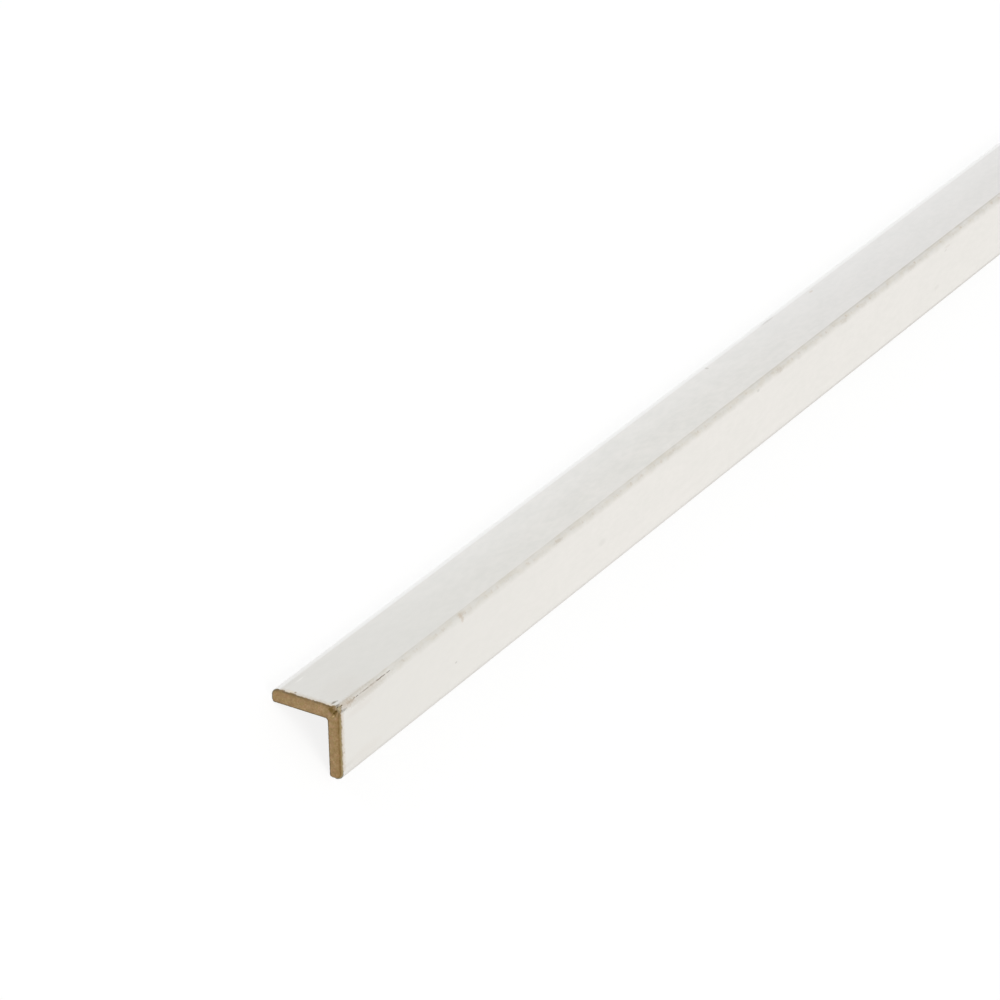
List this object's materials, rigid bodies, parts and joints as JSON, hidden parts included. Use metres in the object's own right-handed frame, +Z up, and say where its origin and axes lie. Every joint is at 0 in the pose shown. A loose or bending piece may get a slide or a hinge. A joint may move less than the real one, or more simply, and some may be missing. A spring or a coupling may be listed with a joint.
{
  "type": "corner guard moulding",
  "caption": "Right-angled fibreboard moulding with a white facing on its outer side, glued over an outside corner of a wall to cover and protect it.",
  "frame": {"origin": "on the floor, under the middle of the moulding's length", "axes": "+X along the length, away from the worn cut end; +Y across, +Z up through the outer corner"},
  "size_m": [2.4, 0.0264, 0.0158],
  "materials": {
    "fibreboard": "matte",
    "white_facing": "satin"
  },
  "bodies": {
    "root": {"fibreboard_angle": "fibreboard", "white_facing": "white_facing"}
  },
  "joints": []
}
